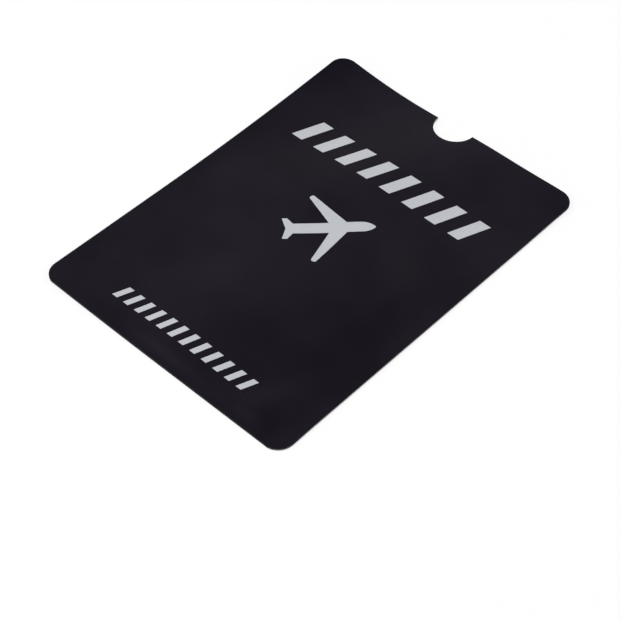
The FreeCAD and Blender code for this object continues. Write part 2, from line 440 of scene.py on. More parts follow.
class LayerTrees:
    """The geometry node trees that turn shapes into layers of the draped sleeve."""

    DRAPED = {"Geometry": "NodeSocketGeometry", "Lift share": 0.0, "Face finish": "NodeSocketMaterial"}
    PLATE = {**DRAPED, "Base height": 0.0, "Thickness": 0.0, "Edge finish": "NodeSocketMaterial"}
    BARS = {"Count": "NodeSocketInt", "Pitch": 0.0, "Start": "NodeSocketVector",
            "Bar width": 0.0, "Bar height": 0.0, "Slope": 0.0, "Grid step": 1.0 * MM}
    INPUTS = {Making.SHEET: PLATE, Making.BENT: DRAPED, Making.BAR_ROW: {**PLATE, **BARS}}

    def __init__(self, drape: NodeTree) -> None:
        """Make the trees, round the node group that lifts a layer to the sleeve's shape."""
        self.drape = drape
        self.made = {making: self.make(making) for making in Making}

    def make(self, making: Making) -> NodeTree:
        """Make one tree: the shape gets its thickness if it is flat, and is then draped and dressed.

        Args:
            making: How the tree's pieces are made.

        Returns:
            The tree.
        """
        graph, given = new_group(making.value, GroupKind.GEOMETRY, self.INPUTS[making], ["Geometry"])
        shape = self.bar_row(graph, given) if making is Making.BAR_ROW else given["Geometry"]
        side = None
        if making is not Making.BENT:
            shape, side = self.thicken(graph, given, shape)
        inputs = {"Geometry": shape, "Lift share": given["Lift share"]}
        draped = graph.out("GeometryNodeGroup", inputs, node_tree=self.drape)
        plain = graph.out("GeometryNodeRealizeInstances", {0: draped})
        dressed = graph.out("GeometryNodeSetMaterial", {"Geometry": plain, "Material": given["Face finish"]})
        if side is not None:
            inputs = {"Geometry": dressed, "Selection": side, "Material": given["Edge finish"]}
            dressed = graph.out("GeometryNodeSetMaterial", inputs)
        graph.add("NodeGroupOutput", {"Geometry": dressed})
        return graph.tree

    def thicken(self, graph: Graph, given: dict, flat: NodeSocket) -> tuple[NodeSocket, NodeSocket]:
        """Turn flat faces into a closed plate at its height in the stack.

        Args:
            graph: The tree's graph.
            given: The tree's inputs, with Base height and Thickness.
            flat: Faces at height 0, facing up.

        Returns:
            The plate, and which of its faces are its sides.
        """
        base = graph.vector(Z=given["Base height"])
        raised = graph.out("GeometryNodeSetPosition", {"Geometry": flat, "Offset": base})
        inputs = {"Mesh": raised, "Offset": graph.vector(Z=given["Thickness"]), "Offset Scale": 1.0,
                  "Individual": False}
        extruded = graph.add("GeometryNodeExtrudeMesh", inputs)
        underside = graph.out("GeometryNodeFlipFaces", {0: raised})
        joined = graph.add("GeometryNodeJoinGeometry", {0: extruded.outputs["Mesh"]})
        graph.feed(joined.inputs[0], underside)
        inputs = {"Geometry": joined.outputs[0], "Distance": SAME_PLACE}
        closed = graph.out("GeometryNodeMergeByDistance", inputs)
        smooth = graph.out("GeometryNodeSetShadeSmooth", {"Geometry": closed})
        return smooth, extruded.outputs["Side"]

    def bar_row(self, graph: Graph, given: dict) -> NodeSocket:
        """Lay out a row of flat bars, which lean and stand a pitch apart on a line.

        Args:
            graph: The tree's graph.
            given: The tree's inputs, with the sizes of the bars.

        Returns:
            The bars.
        """
        step = given["Grid step"]
        width = given["Bar width"]
        height = given["Bar height"]
        inputs = {"Size X": width, "Size Y": height, "Vertices X": (width / step).math("CEIL") + 1.0,
                  "Vertices Y": (height / step).math("CEIL") + 1.0}
        bar = graph.out("GeometryNodeMeshGrid", inputs)
        _, y, _ = graph.axes(graph.out("GeometryNodeInputPosition"))
        lean = graph.vector(X=y * given["Slope"])
        leaning = graph.out("GeometryNodeSetPosition", {"Geometry": bar, "Offset": lean})
        inputs = {"Count": given["Count"], "Start Location": given["Start"],
                  "Offset": graph.vector(X=given["Pitch"])}
        line = graph.out("GeometryNodeMeshLine", inputs)
        row = graph.out("GeometryNodeInstanceOnPoints", {"Points": line, "Instance": leaning})
        return graph.out("GeometryNodeRealizeInstances", {0: row})


class Zone(Enum):
    """The parts of the front wall, each named for the edge that holds it down, with the way in from it."""

    LEFT = (1, 0)
    RIGHT = (-1, 0)
    CLOSED_END = (0, 1)


@dataclass
class Blank:
    """The flat outline of a layer and the net of triangles inside it."""

    node: str
    step: float
    clear: float = 0.35 * MM

    def outline(self) -> list[Point]:
        """The node's outline seen from above, with its long straight runs divided.

        Returns:
            The points in order, once round.
        """
        work = bmesh.new()
        work.from_mesh(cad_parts[self.node].data)
        bmesh.ops.remove_doubles(work, verts=work.verts, dist=SAME_PLACE)
        # The faces are walked in the mesh's own order, which a set doesn't keep, so every run gives one net.
        top = [face for face in work.faces if face.normal.z > TOP_FACING]
        known = set(top)
        follows: dict = {}
        for face in top:
            for loop in face.loops:
                if sum(other in known for other in loop.edge.link_faces) == 1:
                    follows[loop.vert] = loop.link_loop_next.vert
        start = next(iter(follows))
        points = []
        here = start
        while True:
            there = follows[here]
            count = max(1, round((there.co - here.co).length / self.step))
            for part in range(count):
                place = here.co.lerp(there.co, part / count)
                points.append((place.x, place.y))
            here = there
            if here is start:
                break
        work.free()
        return points

    def inside(self, points: np.ndarray, outline: np.ndarray) -> np.ndarray:
        """Say which points lie within the outline and clear of it.

        Args:
            points: The points to test.
            outline: The outline's corners in order.

        Returns:
            True for each point that can be kept.
        """
        ends = np.roll(outline, -1, axis=0)
        run = ends - outline
        away = points[:, None, :] - outline[None, :, :]
        share = np.clip((away * run).sum(2) / (run * run).sum(1), 0.0, 1.0)
        gap = np.linalg.norm(away - share[:, :, None] * run, axis=2).min(1)
        rises = (outline[:, 1] > points[:, None, 1]) != (ends[:, 1] > points[:, None, 1])
        with np.errstate(divide="ignore", invalid="ignore"):
            crossing = outline[:, 0] + (points[:, None, 1] - outline[:, 1]) * run[:, 0] / run[:, 1]
        crossed = (rises & (points[:, None, 0] < crossing)).sum(1) % 2 == 1
        return crossed & (gap > self.clear)

    def triangles(self, inner: Iterable[Point], cuts: Sequence[Sequence[Point]] = ()) -> tuple[list, list]:
        """Divide the outline into triangles.

        Args:
            inner: Points to use inside the outline.
            cuts: Lines that triangles may not cross.

        Returns:
            The corners of the triangles, and the triangles as lists of corner numbers.
        """
        rim = self.outline()
        kept = np.array(list(inner))
        kept = kept[self.inside(kept, np.array(rim))]
        corners = list(rim)
        edges = [(place, (place + 1) % len(rim)) for place in range(len(rim))]
        for cut in cuts:
            first = len(corners)
            corners.extend(cut)
            edges.extend((first + place, first + place + 1) for place in range(len(cut) - 1))
        corners.extend(map(tuple, kept))
        # The net is worked out in millimetres, where its numbers are of a handy size.
        flat = [Vector(corner) / MM for corner in corners]
        found, _, faces, *_ = delaunay_2d_cdt(flat, edges, [], 1, SAME_PLACE / MM)
        return [corner * MM for corner in found], faces

    def mesh(self, corners: list, faces: list) -> Mesh:
        """Make a flat mesh of some of the triangles, facing up.

        Args:
            corners: All corners.
            faces: The triangles to use.

        Returns:
            The mesh.
        """
        used = sorted({corner for face in faces for corner in face})
        number = {corner: place for place, corner in enumerate(used)}
        flat = bpy.data.meshes.new(self.node)
        flat.from_pydata([(*corners[corner], 0.0) for corner in used], [],
                         [[number[corner] for corner in face] for face in faces])
        return flat

    def whole(self) -> Mesh:
        """Make a flat mesh of the whole outline, on an even lattice of points.

        Returns:
            The mesh.
        """
        low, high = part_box(self.node)
        across = np.arange(low.x, high.x, self.step)
        along = np.arange(low.y, high.y, self.step)
        return self.mesh(*self.triangles((x, y) for x in across for y in along))


class Effect:
    """A shader group that more than one finish can use. Its sizes are the group's inputs."""

    def start(self, name: str, *outputs: str) -> tuple[Graph, dict[str, Field]]:
        """Start the group: its graph, and its sizes by label."""
        return new_group(name, GroupKind.EFFECT, sizes_of(self), outputs)


@dataclass(frozen=True)
class FilmTooth(Effect):
    """The fine tooth of a matt film, with slow clouds of tone. The ink printed on the film follows it."""

    grain: float = 0.3 * MM
    cloud: float = 24 * MM

    def build(self) -> NodeTree:
        """Make the group.

        Returns:
            A group with a Height from the tooth and a Tone from the clouds.
        """
        graph, given = self.start("Film tooth", "Height", "Tone")
        place = graph.place()
        height = graph.noise(place, given["Grain"], detail=3.0, seed=1.0)
        tone = graph.noise(place, given["Cloud"], detail=3.0, seed=5.0)
        graph.add("NodeGroupOutput", {"Height": height, "Tone": tone})
        return graph.tree


@dataclass(frozen=True)
class FoilCrinkle(Effect):
    """The shallow facets of aluminium foil, which also show faintly through the film glued to it."""

    facet: float = 9 * MM

    # The folds between facets: their width in facets, and their depth beside that of the facets' bend.
    FOLD_WIDTH = 0.45
    FOLD_DEPTH = 0.5
    BEND_DEPTH = 0.8
    MID_NOISE = 0.5

    def build(self) -> NodeTree:
        """Make the group.

        Returns:
            A group with a Height.
        """
        graph, given = self.start("Foil crinkle", "Height")
        place = graph.place()
        bend = graph.noise(place, given["Facet"], detail=2.0, seed=2.0)
        fold = graph.noise(place, given["Facet"] * self.FOLD_WIDTH, detail=1.0, seed=7.0)
        crease = (fold - self.MID_NOISE).math("ABSOLUTE")
        graph.add("NodeGroupOutput", {"Height": bend * self.BEND_DEPTH - crease * self.FOLD_DEPTH})
        return graph.tree


@dataclass(frozen=True)
class HandlingMarks(Effect):
    """Hairline scuffs from sliding in and out of bags and pockets."""

    length: float = 14 * MM
    width: float = 0.5 * MM

    # The ways that scuffs run, in degrees, each with the seed of its noise.
    WAYS = ((20, 11.0), (-35, 12.0), (80, 13.0))
    # Where the noise turns into scuffs, and into the patches that have any.
    LINES = (0.66, 0.82)
    PATCHES = (0.45, 0.7)
    PATCH_SIZE = 18 * MM

    def build(self) -> NodeTree:
        """Make the group.

        Returns:
            A group with a Mask that is 1 on a scuff.
        """
        graph, given = self.start("Handling marks", "Mask")
        place = graph.place()
        stretch = given["Width"] / given["Length"]
        marks = None
        for turn, seed in self.WAYS:
            inputs = {"Vector": place, "Angle": math.radians(turn)}
            x, y, _ = graph.axes(graph.out("ShaderNodeVectorRotate", inputs, rotation_type="Z_AXIS"))
            drawn = graph.vector(X=x * stretch, Y=y)
            line = graph.noise(drawn, given["Width"], detail=1.0, seed=seed).ramp(*self.LINES)
            marks = line if marks is None else marks.math("MAXIMUM", line)
        patches = graph.noise(place, self.PATCH_SIZE, detail=2.0, seed=14.0).ramp(*self.PATCHES)
        graph.add("NodeGroupOutput", {"Mask": marks * patches})
        return graph.tree


@dataclass(frozen=True)
class CornerDarkening(Effect):
    """Darkens the cut edge to near black towards the round corners; along the middle of each side it stays
    pale.
    """

    half_width: float
    half_length: float
    corner_radius: float
    fade: float = 8 * MM

    def build(self) -> NodeTree:
        """Make the group.

        Returns:
            A group with a Mask that is 1 round the corners.
        """
        graph, given = self.start("Corner film", "Mask")
        x, y, _ = graph.axes(graph.place())
        mask = None
        for along, half in ((x, given["Half width"]), (y, given["Half length"])):
            before_arc = half - given["Corner radius"] - along.math("ABSOLUTE")
            near = (before_arc / given["Fade"]).ramp(0.0, 1.0).rest()
            mask = near if mask is None else mask * near
        graph.add("NodeGroupOutput", {"Mask": mask})
        return graph.tree


@dataclass(frozen=True)
class SharedEffects:
    """The shader groups that more than one finish uses."""

    tooth: NodeTree
    crinkle: NodeTree
    marks: NodeTree
    corners: NodeTree


class Surface(Graph):
    """The nodes of one material."""

    def effect(self, group: NodeTree, **sizes: float) -> dict[str, Field]:
        """Place a shared effect.

        Args:
            group: The effect's shader group.
            sizes: Its inputs, where they differ from the group's own.

        Returns:
            What the effect puts out, by label.
        """
        inputs = {label_of(name): value for name, value in sizes.items()}
        node = self.add("ShaderNodeGroup", inputs, node_tree=group)
        return {socket.name: self.field(socket) for socket in node.outputs}

    def blend(self, share: Field, under: Colour | NodeSocket, over: Colour | NodeSocket) -> NodeSocket:
        """Mix two colours.

        Args:
            share: How much of the second shows.
            under: The first colour.
            over: The second.

        Returns:
            The mixed colour.
        """
        node = self.add("ShaderNodeMix", {"Factor": share}, data_type="RGBA")
        for socket, colour in ((node.inputs[6], under), (node.inputs[7], over)):
            self.feed(socket, (*colour, 1.0) if isinstance(colour, tuple) else colour)
        return node.outputs[2]

    def relief(self, height: Field, depth: float, under: NodeSocket | None = None) -> NodeSocket:
        """Turn a height of 0 to 1, times a depth, into a normal that can lie on another one."""
        inputs = {"Height": height, "Strength": 1.0, "Distance": depth}
        return self.out("ShaderNodeBump", inputs if under is None else {**inputs, "Normal": under})

    def end(self, **sockets: object) -> None:
        """End the material in a Principled shader, with its sockets by name and _ for spaces."""
        inputs = {key.replace("_", " "): value for key, value in sockets.items()}
        self.add("ShaderNodeOutputMaterial", {"Surface": self.out("ShaderNodeBsdfPrincipled", inputs)})


def new_material(name: str) -> tuple[Material, Surface]:
    """Start a material.

    Args:
        name: The material's name.

    Returns:
        The material, and its nodes, of which there are none yet.
    """
    material = bpy.data.materials.new(name)
    material.use_nodes = True
    material.node_tree.nodes.clear()
    return material, Surface(material.node_tree)


@dataclass(frozen=True)
class BlackFilm:
    """Matt black film on the outside of the blank, a little purple, with paler handled edges."""

    effects: SharedEffects
    sleeve: Outline
    dark: Colour = (0.0040, 0.0018, 0.0076)
    pale: Colour = (0.0076, 0.0048, 0.0120)
    clouds: Span = (0.3, 0.7)
    scuffed: Colour = (0.022, 0.021, 0.025)
    scuff_share: float = 0.35
    worn: Colour = (0.06, 0.058, 0.062)
    worn_share: float = 0.6
    wear_width: float = 0.35 * MM
    chip_size: float = 1.6 * MM
    chips: Span = (0.35, 0.75)
    specular: float = 0.198
    roughness: float = 0.36
    ripple_depth: float = 0.03 * MM
    tooth_depth: float = 0.01 * MM

    # What clouds, scuffs and wear add to the roughness.
    CLOUDS_ADD = 0.1
    SCUFFS_ADD = 0.08
    WEAR_ADDS = 0.2

    def rim(self, graph: Surface) -> Field:
        """How far a point is from the sleeve's cut outline.

        Args:
            graph: The material's nodes.

        Returns:
            The distance in metres.
        """
        sleeve = self.sleeve
        x, y, _ = graph.axes(graph.place())
        out_x = x.math("ABSOLUTE") - (sleeve.half_width - sleeve.corner_radius)
        out_y = y.math("ABSOLUTE") - (sleeve.half_length - sleeve.corner_radius)
        reach = graph.length(graph.vector(X=out_x.above(0.0), Y=out_y.above(0.0)))
        within = out_x.math("MAXIMUM", out_y).math("MINIMUM", 0.0)
        to_edge = -(reach + within) + sleeve.corner_radius
        to_notch = graph.length(graph.vector(X=x, Y=y - sleeve.half_length)) - sleeve.notch_radius
        return to_edge.math("MINIMUM", to_notch)

    def material(self) -> Material:
        """Make the film.

        Returns:
            The material.
        """
        material, graph = new_material("black_film")
        tooth = graph.effect(self.effects.tooth)
        tone = tooth["Tone"]
        marks = graph.effect(self.effects.marks)["Mask"]
        chips = graph.noise(graph.place(), self.chip_size, detail=3.0, seed=21.0)
        wear = (self.rim(graph) / self.wear_width).ramp(0.0, 1.0).rest() * chips.ramp(*self.chips)
        colour = graph.blend(tone.ramp(*self.clouds), self.dark, self.pale)
        colour = graph.blend(marks * self.scuff_share, colour, self.scuffed)
        colour = graph.blend(wear * self.worn_share, colour, self.worn)
        rough = tone * self.CLOUDS_ADD + marks * self.SCUFFS_ADD + wear * self.WEAR_ADDS + self.roughness
        rippled = graph.relief(graph.effect(self.effects.crinkle)["Height"], self.ripple_depth)
        toothed = graph.relief(tooth["Height"], self.tooth_depth, rippled)
        graph.end(Base_Color=colour, Roughness=rough, Normal=toothed, Specular_IOR_Level=self.specular)
        return material


@dataclass(frozen=True)
class PaperEdge:
    """The cut edge of the blank: the fibres of its grey paper core, turning near black towards the corners.
    """

    effects: SharedEffects
    light: Colour = (0.40, 0.39, 0.395)
    dark: Colour = (0.17, 0.165, 0.17)
    fibre_size: float = 0.5 * MM
    fibres: Span = (0.3, 0.7)
    fibre_share: float = 0.6
    stain_size: float = 26 * MM
    stains: Span = (0.35, 0.65)
    stain_share: float = 0.4
    specular: float = 0.2
    roughness: float = 0.8
    fibres_add: float = 0.15
    fibre_depth: float = 0.02 * MM

    def material(self) -> Material:
        """Make the cut edge.

        Returns:
            The material.
        """
        material, graph = new_material("paper_edge")
        place = graph.place()
        fibre = graph.noise(place, self.fibre_size, detail=4.0, seed=31.0)
        stain = graph.noise(place, self.stain_size, detail=1.0, seed=32.0)
        pale = fibre.ramp(*self.fibres) * self.fibre_share + stain.ramp(*self.stains) * self.stain_share
        paper = graph.blend(pale, self.dark, self.light)
        # The cut edge turns near black towards the round corners.
        near_corner = graph.effect(self.effects.corners)["Mask"]
        graph.end(Base_Color=graph.blend(near_corner, paper, CORNER_BLACK),
                  Roughness=fibre * self.fibres_add + self.roughness,
                  Normal=graph.relief(fibre, self.fibre_depth), Specular_IOR_Level=self.specular)
        return material


@dataclass(frozen=True)
class ShieldFoil:
    """Bright aluminium foil, rolled and then crinkled a little by the folding."""

    effects: SharedEffects
    bright: Colour = (0.83, 0.84, 0.86)
    dull: Colour = (0.66, 0.67, 0.69)
    dull_share: float = 0.5
    line_width: float = 0.25 * MM
    line_shortening: float = 0.02
    metallic: float = 0.6
    roughness: float = 0.42
    lines_add: float = 0.08
    scuffs_add: float = 0.1
    facet: float = 5 * MM
    facet_depth: float = 0.25 * MM

    def material(self) -> Material:
        """Make the foil.

        Returns:
            The material.
        """
        material, graph = new_material("shield_foil")
        x, y, z = graph.axes(graph.place())
        rolled = graph.vector(X=x, Y=y * self.line_shortening, Z=z)
        lines = graph.noise(rolled, self.line_width, detail=2.0, seed=41.0)
        marks = graph.effect(self.effects.marks)["Mask"]
        dulled = lines * self.dull_share + marks * self.dull_share
        crinkle = graph.effect(self.effects.crinkle, facet=self.facet)["Height"]
        graph.end(Base_Color=graph.blend(dulled, self.bright, self.dull), Metallic=self.metallic,
                  Roughness=lines * self.lines_add + marks * self.scuffs_add + self.roughness,
                  Normal=graph.relief(crinkle, self.facet_depth))
        return material


@dataclass(frozen=True)
class Glue:
    """A dried line of pale glue, turning near black towards the corners."""

    effects: SharedEffects
    thin: Colour = (0.5, 0.48, 0.42)
    thick: Colour = (0.68, 0.66, 0.6)
    bead_size: float = 1.8 * MM
    beads: Span = (0.3, 0.7)
    specular: float = 0.5
    roughness: float = 0.3
    beads_add: float = 0.3

    def material(self) -> Material:
        """Make the glue.

        Returns:
            The material.
        """
        material, graph = new_material("glue")
        beads = graph.noise(graph.place(), self.bead_size, detail=2.0, seed=51.0)
        dried = graph.blend(beads.ramp(*self.beads), self.thin, self.thick)
        # The glue's edge turns near black towards the round corners.
        near_corner = graph.effect(self.effects.corners)["Mask"]
        graph.end(Base_Color=graph.blend(near_corner, dried, CORNER_BLACK), Specular_IOR_Level=self.specular,
                  Roughness=beads * self.beads_add + self.roughness)
        return material


@dataclass(frozen=True)
class SilverInk:
    """Silver screen ink: pale grey with fine metal flakes, on the tooth of the film."""

    effects: SharedEffects
    body: Colour = (0.58, 0.595, 0.635)
    flake: Colour = (0.74, 0.755, 0.80)
    flake_size: float = 0.18 * MM
    flakes: Span = (0.45, 0.7)
    flake_share: float = 0.6
    cloud_share: float = 0.4
    scuffed: Colour = (0.3, 0.3, 0.32)
    scuff_share: float = 0.3
    metallic: float = 0.15
    specular: float = 0.4
    roughness: float = 0.52
    flakes_polish: float = 0.12
    tooth_depth: float = 0.006 * MM

    def material(self) -> Material:
        """Make the ink.

        Returns:
            The material.
        """
        material, graph = new_material("silver_ink")
        tooth = graph.effect(self.effects.tooth)
        flakes = graph.noise(graph.place(), self.flake_size, detail=1.0, seed=61.0).ramp(*self.flakes)
        marks = graph.effect(self.effects.marks)["Mask"]
        bright = flakes * self.flake_share + tooth["Tone"] * self.cloud_share
        colour = graph.blend(bright, self.body, self.flake)
        graph.end(Base_Color=graph.blend(marks * self.scuff_share, colour, self.scuffed),
                  Metallic=self.metallic, Specular_IOR_Level=self.specular,
                  Roughness=-(flakes * self.flakes_polish) + self.roughness,
                  Normal=graph.relief(tooth["Height"], self.tooth_depth))
        return material


class Slot(Enum):
    """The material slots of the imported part."""

    COVER = "cover"
    SHIELD_FOIL = "shield_foil"
    GLUE = "glue"
    SILVER_PRINT = "silver_print"


# The finish of the faces and that of the cut edges, for each slot.
Finishes = dict[Slot, tuple[Material, Material]]


def make_finishes(sleeve: Outline) -> Finishes:
    """Make every finish.

    Args:
        sleeve: The sleeve's outline.

    Returns:
        The finishes by slot.
    """
    corners = CornerDarkening(sleeve.half_width, sleeve.half_length, sleeve.corner_radius)
    effects = SharedEffects(FilmTooth().build(), FoilCrinkle().build(), HandlingMarks().build(),
                            corners.build())
    cover = (BlackFilm(effects, sleeve).material(), PaperEdge(effects).material())
    foil = ShieldFoil(effects).material()
    glue = Glue(effects).material()
    ink = SilverInk(effects).material()
    return {Slot.COVER: cover, Slot.SHIELD_FOIL: (foil, foil), Slot.GLUE: (glue, glue),
            Slot.SILVER_PRINT: (ink, ink)}


@dataclass(frozen=True)
class Layer:
    """One layer of the stack: its node, its slot, how it is made and its share of the front's rise."""

    node: str
    slot: Slot
    making: Making = Making.SHEET
    lift_share: float = 0.0

    def grow(self, name: str, mesh: Mesh, trees: LayerTrees, finishes: Finishes, **more: object) -> Object:
        """Run the layer's geometry node tree on a mesh and keep the result as a piece with a plain mesh.

        Args:
            name: The piece's name.
            mesh: The flat or bent mesh that it starts as.
            trees: The geometry node trees.
            finishes: The finishes.
            more: Further inputs of the tree, by label with _ for spaces.

        Returns:
            The piece, which stands for the node.
        """
        low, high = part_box(self.node)
        face, edge = finishes[self.slot]
        inputs = {"Base height": low.z, "Thickness": high.z - low.z, "Lift share": self.lift_share,
                  "Face finish": face, "Edge finish": edge,
                  **{label_of(key): value for key, value in more.items()}}
        piece = put_in_scene(name, mesh)
        modifier = piece.modifiers.new("layer", "NODES")
        modifier.node_group = trees.made[self.making]
        for item in modifier.node_group.interface.items_tree:
            if item.in_out == "INPUT" and item.name in inputs:
                modifier[item.identifier] = inputs[item.name]
        depsgraph = bpy.context.evaluated_depsgraph_get()
        solid = bpy.data.meshes.new_from_object(piece.evaluated_get(depsgraph), depsgraph=depsgraph)
        piece.modifiers.clear()
        piece.data = solid
        bpy.data.meshes.remove(mesh)
        solid.name = name
        solid.set_sharp_from_angle(angle=SHARP_ANGLE)
        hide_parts(self.node)
        log.info("%s: %d faces, stands for %s", name, len(solid.polygons), self.node)
        return piece


class StillAssembly:
    """What stays on the back body. Its layers start as flat meshes, unless a class builds them itself."""

    LAYERS: dict[str, Layer]
    step: float

    def build(self) -> dict[str, Mesh]:
        """Make the flat mesh of each layer, by the piece's name."""
        return {name: Blank(layer.node, self.step).whole() for name, layer in self.LAYERS.items()}

    def dress(self, meshes: dict[str, Mesh], trees: LayerTrees, finishes: Finishes) -> None:
        """Turn the meshes, given by piece, into finished layers on the back body."""
        for name, mesh in meshes.items():
            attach(self.LAYERS[name].grow(name, mesh, trees, finishes), "back")


@dataclass
class BackWall(StillAssembly):
    """The back wall, which lies on the table: its cover sheet and the foil inside it."""

    step: float = 2.0 * MM

    LAYERS = {"back_cover": Layer("back_panel", Slot.COVER),
              "back_foil": Layer("back_shield", Slot.SHIELD_FOIL)}


@dataclass
class ClosedEnd(StillAssembly):
    """The fold across the closed end: the cover turning round it, and the foil inside that."""

    sleeve: Outline
    step: float = 2.0 * MM
    arc_steps: int = 12

    LAYERS = {"fold_cover": Layer("end_fold", Slot.COVER, Making.BENT),
              "fold_foil": Layer("fold_shield", Slot.SHIELD_FOIL, Making.BENT)}

    def end_of(self, y: float) -> float:
        """How far the fold reaches along X at a place along Y, where the round corners cut it.

        Args:
            y: The place.

        Returns:
            The reach from the middle.
        """
        radius = self.sleeve.corner_radius
        rise = -y - (self.sleeve.half_length - radius)
        return self.sleeve.half_width - radius + math.sqrt(max(radius ** 2 - rise ** 2, 0.0))

    def bend(self, node: str, inner_radius: float) -> Mesh:
        """Make a half ring, drawn out along X.

        Args:
            node: The node that it stands for, which gives its outer radius and its axis.
            inner_radius: The radius inside.

        Returns:
            The closed mesh.
        """
        low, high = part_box(node)
        outer_radius = (high.z - low.z) / 2
        axis_z = (high.z + low.z) / 2
        angles = np.linspace(math.pi / 2, -math.pi / 2, self.arc_steps + 1)
        outer, inner = ([(high.y - radius * math.cos(a), axis_z + radius * math.sin(a)) for a in angles]
                        for radius in (outer_radius, inner_radius))
        ring = outer + inner[::-1]
        stations = round((high.x - low.x) / self.step)
        vertices = [(self.end_of(y) * (2 * place / stations - 1), y, z)
                    for place in range(stations + 1) for y, z in ring]
        size = len(ring)
        faces = [(place * size + here, place * size + (here + 1) % size,
                  (place + 1) * size + (here + 1) % size, (place + 1) * size + here)
                 for place in range(stations) for here in range(size)]
        last = stations * size
        for here in range(self.arc_steps):
            there = size - 1 - here
            faces.append((there, there - 1, here + 1, here))
            faces.append((last + here, last + here + 1, last + there - 1, last + there))
        mesh = bpy.data.meshes.new(node)
        mesh.from_pydata(vertices, [], faces)
        mesh.polygons.foreach_set("use_smooth", [True] * len(faces))
        return mesh

    def build(self) -> dict[str, Mesh]:
        """Make the bent cover and the bent foil.

        Returns:
            The meshes by piece.
        """
        low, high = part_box("fold_shield")
        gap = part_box("front_shield")[0].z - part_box("back_shield")[1].z
        return {"fold_cover": self.bend("end_fold", (high.z - low.z) / 2),
                "fold_foil": self.bend("fold_shield", gap / 2)}


@dataclass
class GlueLines(StillAssembly):
    """The two lines of glue that close the long sides."""

    step: float = 1.5 * MM

    LAYERS = {"left_glue_line": Layer("left_seam", Slot.GLUE),
              "right_glue_line": Layer("right_seam", Slot.GLUE)}


@dataclass
class FrontWall:
    """The front wall: cover and foil, held down along both sides and the closed end, free in the middle.

    Each is cut on mitre lines into one zone for each edge that holds it, so that a zone can come down to
    its own edge when the middle lifts.
    """

    sleeve: Outline
    flap_width: float = 5.0 * MM
    zone_depth: float = 12.0 * MM
    step: float = 2.0 * MM
    flap_step: float = 0.5 * MM
    hair: float = 0.2 * MM
    # How many steps the net takes over the glued strip, and from the flap to the zone's end.
    edge_steps: int = 3

    LAYERS = {"front_cover": Layer("front_panel", Slot.COVER, lift_share=1.0),
              "front_foil": Layer("front_shield", Slot.SHIELD_FOIL, lift_share=1.0)}

    def zone_of(self, x: float, y: float) -> Zone:
        """Say which zone a point is in.

        Args:
            x: The point's place across the sleeve.
            y: Its place along it.

        Returns:
            The zone.
        """
        from_side = self.sleeve.half_width - abs(x)
        from_end = y + self.sleeve.half_length
        if from_end < min(from_side, self.zone_depth):
            return Zone.CLOSED_END
        return Zone.LEFT if x < 0 else Zone.RIGHT

    def offsets(self) -> list[float]:
        """Lay out the lines of points along an edge, close together on the flap.

        Returns:
            The distances of the lines from the edge.
        """
        glued = self.sleeve.glued_width
        flap_end = glued + self.flap_width
        outer = np.linspace(0.0, glued, self.edge_steps + 1)[1:-1]
        flap = np.arange(glued, flap_end + self.flap_step / 2, self.flap_step)
        inner = np.linspace(flap_end, self.zone_depth, self.edge_steps + 1)[1:]
        return [*outer, *flap, *inner]

    def net(self) -> tuple[list[Point], list[list[Point]]]:
        """Lay out the net of the front wall.

        Returns:
            The points inside, and the lines between the zones.
        """
        half_width = self.sleeve.half_width
        half_length = self.sleeve.half_length
        near = self.offsets()
        far = np.arange(self.zone_depth + self.step, half_width, self.step)
        across = np.arange(-half_width, half_width, self.step)
        along = np.arange(-half_length, half_length, self.step)
        columns = [side * (half_width - off) for side in (-1, 1) for off in (*near, *far)]
        rows = [off - half_length for off in near]
        points = [(x, y) for x in columns for y in along if self.zone_of(x, y) is not Zone.CLOSED_END]
        points += [(x, y) for y in rows for x in across if self.zone_of(x, y) is Zone.CLOSED_END]
        mitres = [[(side * (half_width - off), off - half_length) for off in (0.0, *near)]
                  for side in (-1, 1)]
        border = self.zone_depth - half_length
        inner_half = half_width - self.zone_depth
        count = round(2 * inner_half / self.step)
        base = [(x, border) for x in np.linspace(-inner_half, inner_half, count + 1)]
        middle = [(0.0, y) for y in np.arange(border, half_length, self.step)]
        lines = [*mitres, base, middle]
        return points + [spot for line in lines for spot in self.beside(line)], lines

    def beside(self, line: list[Point]) -> list[Point]:
        """Lay points a hair to each side of a straight line between zones, so that both shade alike there.

        Args:
            line: The points of the line.

        Returns:
            Two points for each of them.
        """
        run = Vector(line[-1]) - Vector(line[0])
        aside = run.orthogonal().normalized() * self.hair
        return [(x + way * aside.x, y + way * aside.y) for x, y in line for way in (-1, 1)]

    def build(self) -> dict[tuple[str, Zone], Mesh]:
        """Make the flat meshes.

        Returns:
            A mesh for each layer and zone.
        """
        points, cuts = self.net()
        meshes = {}
        for name, layer in self.LAYERS.items():
            blank = Blank(layer.node, self.step)
            corners, faces = blank.triangles(points, cuts)
            held: dict[Zone, list] = {zone: [] for zone in Zone}
            for face in faces:
                middle = sum((corners[corner] for corner in face), Vector((0.0, 0.0))) / len(face)
                held[self.zone_of(*middle)].append(face)
            for zone, chosen in held.items():
                meshes[name, zone] = blank.mesh(corners, chosen)
        return meshes

    def dress(self, meshes: dict[tuple[str, Zone], Mesh], trees: LayerTrees, finishes: Finishes) -> None:
        """Turn the flat meshes into finished layers that come down to their held edges.

        Args:
            meshes: The flat meshes by layer and zone.
            trees: The geometry node trees.
            finishes: The finishes.
        """
        for (name, zone), mesh in meshes.items():
            piece = self.LAYERS[name].grow(f"{name}_{zone.name.lower()}", mesh, trees, finishes)
            inward = Vector((*zone.value, 0.0))
            edge = Vector((-inward.x * self.sleeve.half_width, -inward.y * self.sleeve.half_length, 0.0))
            held = edge + inward * self.sleeve.glued_width
            free = held + inward * self.flap_width
            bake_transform(piece)


@dataclass(frozen=True)
class BarRow:
    """One printed row of leaning bars."""

    node: str
    count: int
    bar_width: float
    slope: float = 0.38


